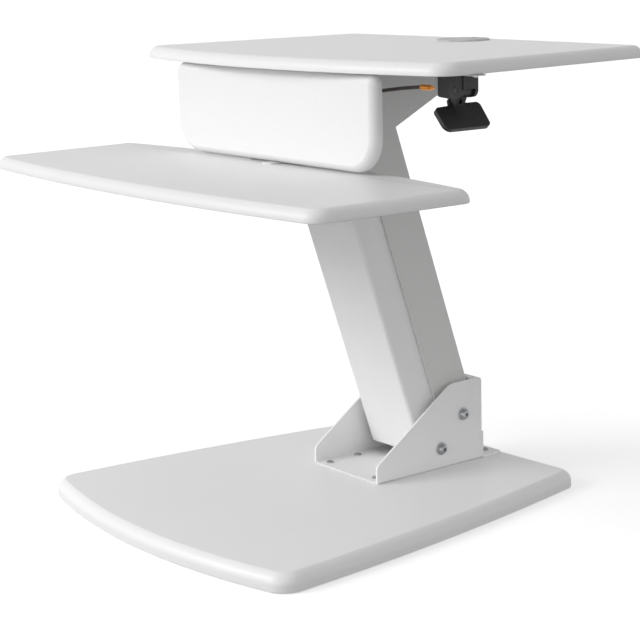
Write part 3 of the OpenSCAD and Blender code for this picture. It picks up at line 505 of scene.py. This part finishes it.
br = prism("lever_strap", round_poly([(LX - 16, LY + 2, 3), (LX + 57, LY + 2, 3), (LX + 57, LY + 22, 3), (LX - 16, LY + 22, 3)]), TOP_Z - 1.6, TOP_Z, "xy")
boolean(br, prism("w", round_poly([(LX - 6.5, HZ + 1, 1.5), (LX - 0.2, HZ + 1, 0), (LX - 0.2, TOP_Z - 0.4, 0), (LX - 6.5, TOP_Z - 0.4, 0)]), LY + 2, LY + 22, "xz"), "UNION")
boolean(br, rod(LX - 30, LX + 4, LY + 12, 534.6, 3.3, 32))
finish_shape(br, 0.25)
lever_screws = join("lever_screw_set", [move(pan_screw(3.5, 7, 2.2, 9, 20 + 30 * i), mmT(x, LY + 12, TOP_Z - 1.6) @ flipz) for i, x in enumerate((LX - 11.5, LX + 49))])

# ------------------------------------------------------------- cable
CY = LY + 12
def tube(name, pts, r, n=24, flat_ends=True):
    """Closed tube along pts in millimetres."""
    v, f, prev = [], [], None
    for i, p in enumerate(pts):
        a, b = pts[max(0, i - 1)], pts[min(len(pts) - 1, i + 1)]
        t = (Vector(b) - Vector(a)).normalized()
        if prev is None:
            s = t.cross(Vector((0, 0, 1))).normalized()
        else:
            s = (prev - t * prev.dot(t)).normalized()
        prev = s
        q = t.cross(s)
        for j in range(n):
            w = 2 * math.pi * j / n
            v.append(Vector(p) + (s * math.cos(w) + q * math.sin(w)) * r)
    m = len(pts)
    for i in range(m - 1):
        for j in range(n):
            k = (j + 1) % n
            f.append([i * n + j, i * n + k, (i + 1) * n + k, (i + 1) * n + j])
    f.append(list(range(n - 1, -1, -1)))
    f.append([(m - 1) * n + j for j in range(n)])
    return make(name, v, f)

A, B, SAG = Vector((208.5, CY, 534.6)), Vector((24.2, -20, 503)), 4.2
h = (A - B).length / 2
R = (h * h + SAG * SAG) / (2 * SAG)
dirn = (A - B).normalized()
side = Vector((-dirn.y, dirn.x, 0)).normalized()
upv = dirn.cross(side) * -1
if upv.z < 0: upv = -upv
mid = (A + B) / 2
cen = mid - upv * (R - SAG)
pts = []
for i in range(33):
    s = -h + 2 * h * i / 32
    pts.append(tuple(cen + dirn * s + upv * math.sqrt(R * R - s * s)))
sheath = tube("sheath", pts[::-1], 2.2, 28)
finish_shape(sheath, 0)
prof = [(0.85, 208), (2.2, 208), (2.6, 208.4)]
for i in range(6):
    x = 208.8 + 2.6 * i
    prof += [(2.75, x), (3.15, x + 0.25), (3.3, x + 0.55), (3.3, x + 1.1), (3.1, x + 1.45), (2.75, x + 1.6)]
prof += [(2.9, 224.6), (2.9, 226.4), (2.6, 226.8)]
for i in range(17):
    x = 227.0 + 1.1 * i
    prof += [(1.0, x), (1.25, x + 0.3), (1.25, x + 0.5), (1.0, x + 0.8)]
prof += [(1.0, LX - 4), (0.85, LX - 4)]
adj = along_x(lathe("adjuster", prof, 48), 0, CY, 534.6)
finish_shape(adj, 0)

# ------------------------------------------------------------- materials
def new_mat(name):
    m = bpy.data.materials.new(name)
    m.use_nodes = True
    nt = m.node_tree
    return m, nt, nt.nodes["Principled BSDF"]

def N(nt, kind, **kw):
    n = nt.nodes.new(kind)
    for k, v in kw.items():
        setattr(n, k, v)
    return n

def coords(nt, stretch=(1, 1, 1)):
    t = N(nt, "ShaderNodeTexCoord")
    m = N(nt, "ShaderNodeMapping")
    m.inputs["Scale"].default_value = stretch
    nt.links.new(t.outputs["Object"], m.inputs["Vector"])
    return m.outputs["Vector"]

def noise_tex(nt, vec, scale, detail=4, rough=0.55, dist=0.0):
    n = N(nt, "ShaderNodeTexNoise")
    n.inputs["Scale"].default_value = scale
    n.inputs["Detail"].default_value = detail
    n.inputs["Roughness"].default_value = rough
    n.inputs["Distortion"].default_value = dist
    nt.links.new(vec, n.inputs["Vector"])
    return n.outputs["Fac"]

def ramp(nt, fac, stops):
    r = N(nt, "ShaderNodeValToRGB")
    e = r.color_ramp.elements
    while len(e) < len(stops):
        e.new(0.5)
    for el, (p, c) in zip(e, stops):
        el.position = p
        el.color = (c[0], c[1], c[2], 1) if isinstance(c, (tuple, list)) else (c, c, c, 1)
    nt.links.new(fac, r.inputs["Fac"])
    return r.outputs["Color"]

def mix(nt, a, b, fac, mode="MIX"):
    m = N(nt, "ShaderNodeMix", data_type="RGBA", blend_type=mode)
    for s, v in (("A", a), ("B", b)):
        sock = [i for i in m.inputs if i.name == s and i.type == "RGBA"][0]
        if hasattr(v, "links"): nt.links.new(v, sock)
        else: sock.default_value = (*v, 1)
    f = [i for i in m.inputs if i.name == "Factor" and i.type == "VALUE"][0]
    if hasattr(fac, "links"): nt.links.new(fac, f)
    else: f.default_value = fac
    return [o for o in m.outputs if o.type == "RGBA"][0]

def maths(nt, op, a, b):
    m = N(nt, "ShaderNodeMath", operation=op)
    for i, v in enumerate((a, b)):
        if hasattr(v, "links"): nt.links.new(v, m.inputs[i])
        else: m.inputs[i].default_value = v
    return m.outputs[0]

def bump(nt, bsdf, height, strength, dist):
    b = N(nt, "ShaderNodeBump")
    b.inputs["Strength"].default_value = strength
    b.inputs["Distance"].default_value = dist
    nt.links.new(height, b.inputs["Height"])
    if bsdf.inputs["Normal"].is_linked:
        nt.links.new(bsdf.inputs["Normal"].links[0].from_socket, b.inputs["Normal"])
    nt.links.new(b.outputs["Normal"], bsdf.inputs["Normal"])

def rubbed_and_highlit_edge_mask(nt, vec, lo=0.55, hi=0.62, radius=0.0012):
    """Convex edges, broken up by noise; painted() and plastic() colour them lighter, partly as wear and partly as a
    painted highlight, metal() darker.
    """
    g = N(nt, "ShaderNodeNewGeometry")
    bev = N(nt, "ShaderNodeBevel", samples=4)
    bev.inputs["Radius"].default_value = radius
    d = N(nt, "ShaderNodeVectorMath", operation="DOT_PRODUCT")
    nt.links.new(bev.outputs["Normal"], d.inputs[0])
    nt.links.new(g.outputs["Normal"], d.inputs[1])
    edge = maths(nt, "SUBTRACT", 1.0, d.outputs["Value"])
    edge = maths(nt, "MULTIPLY", edge, 3.0)
    n = ramp(nt, noise_tex(nt, vec, 140, 5), [(lo, 0.0), (hi, 1.0)])
    s = N(nt, "ShaderNodeSeparateColor")
    nt.links.new(n, s.inputs[0])
    out = maths(nt, "MULTIPLY", edge, s.outputs[0])
    c = N(nt, "ShaderNodeClamp")
    nt.links.new(out, c.inputs["Value"])
    return c.outputs[0]

def painted(name, col, rough, grain_scale, grain, speck=0.0, dirt=0.03, coat=0.0, edge_rub_and_highlight_colour=(0.93, 0.93, 0.93), spec=0.45):
    """Paint, film or powder over a substrate: tone drift, fine skin texture, lighter edges (partly wear, partly painted
    highlight), scuffs in the gloss.
    """
    m, nt, b = new_mat(name)
    v = coords(nt)
    drift = noise_tex(nt, v, 7, 3)
    dark = tuple(c * (1 - dirt) for c in col)
    light = tuple(min(1, c * (1 + dirt * 0.5)) for c in col)
    c0 = ramp(nt, drift, [(0.3, dark), (0.7, light)])
    fine = noise_tex(nt, v, 320, 3)
    c1 = mix(nt, c0, ramp(nt, fine, [(0.35, tuple(c * (1 - speck) for c in col)), (0.65, light)]), 0.5)
    # the edges take the lighter edge colour: partly wear, partly a painted highlight where edges would catch the light
    c2 = mix(nt, c1, edge_rub_and_highlight_colour, rubbed_and_highlit_edge_mask(nt, v))
    nt.links.new(c2, b.inputs["Base Color"])
    scuff = noise_tex(nt, coords(nt, (9, 90, 40)), 6, 6, 0.65)
    r = ramp(nt, scuff, [(0.3, rough - 0.06), (0.55, rough), (0.75, rough + 0.10)])
    nt.links.new(r, b.inputs["Roughness"])
    b.inputs["Specular IOR Level"].default_value = spec
    if coat:
        b.inputs["Coat Weight"].default_value = coat
        b.inputs["Coat Roughness"].default_value = 0.25
    bump(nt, b, noise_tex(nt, v, grain_scale, 3, 0.5), grain, 0.0002)
    bump(nt, b, noise_tex(nt, v, grain_scale * 0.16, 2, 0.5), grain * 0.45, 0.0008)
    return m

def metal(name, col, rough, scale=(1, 1, 1), lines=0.25, spots=0.06, metallic=1.0):
    m, nt, b = new_mat(name)
    v = coords(nt)
    blot = noise_tex(nt, v, 120, 5, 0.6)
    c0 = ramp(nt, blot, [(0.3, tuple(c * (1 - spots) for c in col)), (0.5, col), (0.72, tuple(min(1, c * (1 + spots)) for c in col))])
    grime = noise_tex(nt, v, 900, 3)
    c1 = mix(nt, c0, tuple(c * 0.55 for c in col), maths(nt, "MULTIPLY", rubbed_and_highlit_edge_mask(nt, v, 0.5, 0.6, 0.0005), 0.35))
    nt.links.new(c1, b.inputs["Base Color"])
    b.inputs["Metallic"].default_value = metallic
    fine = noise_tex(nt, coords(nt, scale), 700, 3)
    nt.links.new(ramp(nt, fine, [(0.25, rough - 0.08), (0.75, rough + 0.12)]), b.inputs["Roughness"])
    bump(nt, b, fine, lines, 0.00006)
    bump(nt, b, grime, 0.12, 0.00005)
    return m

def plastic(name, col, rough, pebble=1500, depth=0.3, spec=0.4, light=0.35):
    m, nt, b = new_mat(name)
    v = coords(nt)
    vo = N(nt, "ShaderNodeTexVoronoi", feature="SMOOTH_F1")
    vo.inputs["Scale"].default_value = pebble
    nt.links.new(v, vo.inputs["Vector"])
    c0 = ramp(nt, noise_tex(nt, v, 60, 4), [(0.3, tuple(c * 0.86 for c in col)), (0.7, tuple(c * 1.16 for c in col))])
    # edges lighter by light * 0.12: partly wear, partly a painted highlight
    c1 = mix(nt, c0, tuple(c + light * 0.12 for c in col), rubbed_and_highlit_edge_mask(nt, v, 0.4, 0.62, 0.0009))
    nt.links.new(c1, b.inputs["Base Color"])
    nt.links.new(ramp(nt, noise_tex(nt, coords(nt, (30, 8, 22)), 9, 5, 0.6), [(0.3, rough - 0.07), (0.7, rough + 0.1)]), b.inputs["Roughness"])
    b.inputs["Specular IOR Level"].default_value = spec
    bump(nt, b, vo.outputs["Distance"], depth, 0.00012)
    bump(nt, b, noise_tex(nt, v, 90, 3), 0.12, 0.0006)
    return m

WHITE = (0.82, 0.82, 0.82)
# the edge colours in these calls are partly wear and partly painted highlight; on the grey powder (0.86 over 0.70) the
# lighter edge is mostly a painted highlight for edges that catch the light
M = {
    # the base board's film is the board white raised from 0.82 to 0.90: painted light that makes up for the shade the
    # tray and top cast on the base
    "board_film_lit_copy": painted("white_board_film_lit_copy", (0.90, 0.90, 0.90), 0.42, 2600, 0.10, 0.012, 0.012, edge_rub_and_highlight_colour=(0.90, 0.90, 0.89)),
    "film": painted("white_film", WHITE, 0.42, 2600, 0.10, 0.012, 0.012, edge_rub_and_highlight_colour=(0.86, 0.86, 0.85)),
    # one white powder-coated steel in two copies: a lit one (0.88) for the front arm, base bracket and angle, and a
    # grey shaded one (0.70) for the rear arm, carriage and tray plate, i.e. painted light and painted shade
    "steel_powder_lit_copy": painted("white_steel_powder_lit_copy", (0.88, 0.88, 0.88), 0.5, 1100, 0.28, 0.03, 0.02, edge_rub_and_highlight_colour=(0.88, 0.88, 0.88)),
    "steel_powder_shaded_copy": painted("white_steel_powder_shaded_copy", (0.70, 0.695, 0.69), 0.5, 1100, 0.28, 0.03, 0.02, edge_rub_and_highlight_colour=(0.86, 0.86, 0.86)),
    "zinc": metal("zinc", (0.43, 0.44, 0.45), 0.42, (1, 1, 1), 0.2, 0.10),
    "strap": metal("zinc_strap", (0.36, 0.365, 0.37), 0.5, (2, 40, 2), 0.3, 0.06),
    "brass": metal("brass", (0.80, 0.36, 0.09), 0.34, (1, 1, 1), 0.2, 0.12),
    "chrome": metal("rod_chrome", (0.72, 0.73, 0.74), 0.15, (4, 4, 60), 0.1, 0.03),
    "black": plastic("black_plastic", (0.014, 0.014, 0.0155), 0.44, 1300, 0.35),
    "nylon": plastic("nylon", (0.03, 0.03, 0.032), 0.5, 2200, 0.15),
    "rubber": plastic("rubber", (0.016, 0.016, 0.016), 0.75, 900, 0.3, 0.3),
    "jacket": plastic("cable_jacket", (0.10, 0.085, 0.085), 0.38, 2600, 0.12),
    "grommet": plastic("grommet_grey", (0.50, 0.50, 0.50), 0.45, 2000, 0.15, 0.4, 0.2),
    "strut": painted("black_paint", (0.03, 0.03, 0.032), 0.38, 1600, 0.15, 0.05, 0.06, edge_rub_and_highlight_colour=(0.10, 0.10, 0.10)),
}

def dress(ob, mat):
    ob.data.materials.clear()
    ob.data.materials.append(M[mat])

def place(ob, mat, slot, *nodes):
    move(ob, SHIFT)
    dress(ob, mat)
    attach(ob, BODY_OF[nodes[0]])
    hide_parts(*nodes)

place(b_base, "board_film_lit_copy", "white_board", "base_board")
place(b_tray, "film", "white_board", "keyboard_tray")
place(b_top, "film", "white_board", "work_surface")
place(b_panel, "film", "white_board", "front_panel")
place(fa, "steel_powder_lit_copy", "white_steel", "front_arm")
place(ra, "steel_powder_shaded_copy", "white_steel", "rear_arm")
place(bb, "steel_powder_lit_copy", "white_steel", "base_bracket")
place(ra_l, "steel_powder_lit_copy", "white_steel", "rear_angle")
place(ca, "steel_powder_shaded_copy", "white_steel", "carriage")
place(plate, "steel_powder_shaded_copy", "white_steel", "tray_backing_plate")
place(lower_bolts, "zinc", "zinc", "lower_bolts")
place(lower_washers, "zinc", "zinc", "lower_washers")
place(lower_nuts, "zinc", "zinc", "lower_nuts")
place(upper_bolts, "zinc", "zinc", "upper_bolts")
place(upper_washers, "zinc", "zinc", "upper_washers")
place(upper_nuts, "zinc", "zinc", "upper_nuts")
place(base_screws, "zinc", "zinc", "base_screws")
place(angle_screws, "zinc", "zinc", "angle_screws")
place(angle_bolts, "zinc", "zinc", "angle_bolts")
place(carriage_screws, "zinc", "zinc", "carriage_screws")
place(panel_screws, "zinc", "zinc", "panel_screws")
place(tray_bolts, "zinc", "zinc", "tray_bolts")
place(lever_screws, "zinc", "zinc", "lever_screws")
place(feet, "rubber", "rubber", "base_feet")
place(ring, "grommet", "grommet_grey", "grommet_ring")
place(cap, "grommet", "grommet_grey", "grommet_cap")
place(fc, "black", "black_plastic", "lever_housing")
place(paddle, "black", "black_plastic", "lever_paddle")
place(pin, "strut", "zinc", "lever_pin")
place(br, "strap", "zinc", "lever_bracket")
place(sheath, "jacket", "cable_jacket", "cable_sheath")
place(adj, "brass", "brass", "cable_adjuster")

# CAD solids that stay: welded, softly bevelled, with their own finish
keep = {"front_arm_bushes": "nylon", "rear_arm_bushes": "nylon", "gas_cylinder": "strut", "release_head": "strut", "gas_rod": "chrome"}
for n, o in NODES.items():
    if o.hide_render:
        continue
    dress(o, keep.get(n, "zinc"))
    for p in o.data.polygons:
        p.use_smooth = True
    w = o.modifiers.new("weld", "WELD")
    w.merge_threshold = 1e-5
    bv = o.modifiers.new("edge", "BEVEL")
    bv.width = 0.00025
    bv.segments = 2
    bv.limit_method = "ANGLE"
    bv.angle_limit = math.radians(40)
    wn = o.modifiers.new("normals", "WEIGHTED_NORMAL")
    wn.weight = 60

# ------------------------------------------------------------- stage, light
fl = bpy.data.meshes.new("floor")
nseg = 96
fl.from_pydata([(0, 0, 0)] + [(60 * math.cos(2 * math.pi * i / nseg), 60 * math.sin(2 * math.pi * i / nseg), 0) for i in range(nseg)], [], [[0, 1 + i, 1 + (i + 1) % nseg] for i in range(nseg)])
floor = link("floor", fl)
fm, fnt, fb = new_mat("floor")
fb.inputs["Base Color"].default_value = (0.80, 0.80, 0.80, 1)
fb.inputs["Roughness"].default_value = 0.9
fb.inputs["Specular IOR Level"].default_value = 0.1
fb.inputs["Emission Color"].default_value = (1, 1, 1, 1)
geo = fnt.nodes.new("ShaderNodeNewGeometry")
dist = fnt.nodes.new("ShaderNodeVectorMath")
dist.operation = "LENGTH"
ramp = fnt.nodes.new("ShaderNodeMapRange")
ramp.inputs["From Min"].default_value = 0.45
ramp.inputs["From Max"].default_value = 2.4
ramp.inputs["To Min"].default_value = 0.46
ramp.inputs["To Max"].default_value = 0.62
fnt.links.new(geo.outputs["Position"], dist.inputs[0])
fnt.links.new(dist.outputs["Value"], ramp.inputs["Value"])
fnt.links.new(ramp.outputs["Result"], fb.inputs["Emission Strength"])
fl.materials.append(fm)
floor.visible_diffuse = False

world = bpy.data.worlds.new("studio")
bpy.context.scene.world = world
world.use_nodes = True
wt = world.node_tree
bg = wt.nodes["Background"]
tc = wt.nodes.new("ShaderNodeTexCoord")
sp = wt.nodes.new("ShaderNodeSeparateXYZ")
wt.links.new(tc.outputs["Generated"], sp.inputs[0])
wr = wt.nodes.new("ShaderNodeValToRGB")
half_z = wt.nodes.new("ShaderNodeMath")
half_z.operation = "MULTIPLY_ADD"
half_z.inputs[1].default_value = 0.5
half_z.inputs[2].default_value = 0.5
wt.links.new(sp.outputs["Z"], half_z.inputs[0])
els = wr.color_ramp.elements
els[0].position, els[0].color = 0.0, (0.17, 0.17, 0.17, 1)
els[1].position, els[1].color = 1.0, (0.35, 0.35, 0.35, 1)
for at, c in ((0.488, 0.17), (0.499, 1.0), (0.61, 1.0), (0.70, 0.62), (0.85, 0.42)):
    el = els.new(at)
    el.color = (c, c, c, 1)
wt.links.new(half_z.outputs[0], wr.inputs["Fac"])
wt.links.new(wr.outputs["Color"], bg.inputs["Color"])
bg.inputs["Strength"].default_value = 1.0

def area(name, loc, target, size, power, col=(1, 1, 1)):
    d = bpy.data.lights.new(name, "AREA")
    d.shape = "RECTANGLE"
    d.size, d.size_y = size
    d.energy = power
    d.color = col
    o = bpy.data.objects.new(name, d)
    bpy.context.scene.collection.objects.link(o)
    o.location = loc
    o.rotation_euler = (Vector(target) - Vector(loc)).to_track_quat("-Z", "Y").to_euler()
    return o

area("key", (-2.4, -4.8, 3.2), (0, 0, 0.3), (3.0, 2.4), 186)
area("fill", (0.5, -2.6, 0.75), (0, 0, 0.12), (1.4, 0.5), 6)
area("top", (-0.9, -0.3, 3.0), (0, 0, 0.3), (2.0, 2.0), 5)

bpy.context.scene.view_settings.view_transform = "Standard"
bpy.context.scene.view_settings.look = "None"
bpy.context.scene.view_settings.exposure = 0
bpy.context.scene.view_settings.gamma = 1
